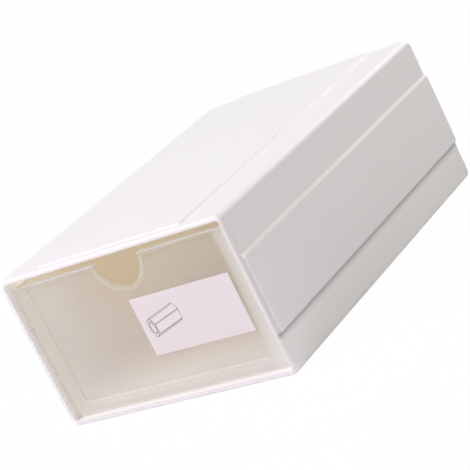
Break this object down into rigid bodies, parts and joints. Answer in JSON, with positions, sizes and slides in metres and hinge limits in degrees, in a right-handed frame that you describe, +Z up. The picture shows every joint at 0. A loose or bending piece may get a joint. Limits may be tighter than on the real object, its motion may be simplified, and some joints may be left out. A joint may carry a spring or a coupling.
{
  "type": "stackable drawer box",
  "caption": "White box with a translucent drawer that slides out of its open front by a finger notch, and raised keys on its side and top that lock it to its neighbours.",
  "frame": {"origin": "under the middle of the whole box, on the surface it stands on", "axes": "+X to the right across the front, the side with the raised key; -Y out of the open front; +Z up"},
  "size_m": [0.1112, 0.173, 0.0662],
  "materials": {
    "shell_plastic": "satin white moulded plastic",
    "drawer_plastic": "translucent milky moulded plastic",
    "label_card": "smooth pale card"
  },
  "bodies": {
    "shell": {"shell": "shell_plastic"},
    "drawer": {"drawer": "drawer_plastic", "label": "label_card"}
  },
  "joints": [
    {"name": "drawer_slide", "type": "slide", "parent": "shell", "child": "drawer", "axis": [0, -1, 0], "range_m": [0, 0.14]}
  ]
}
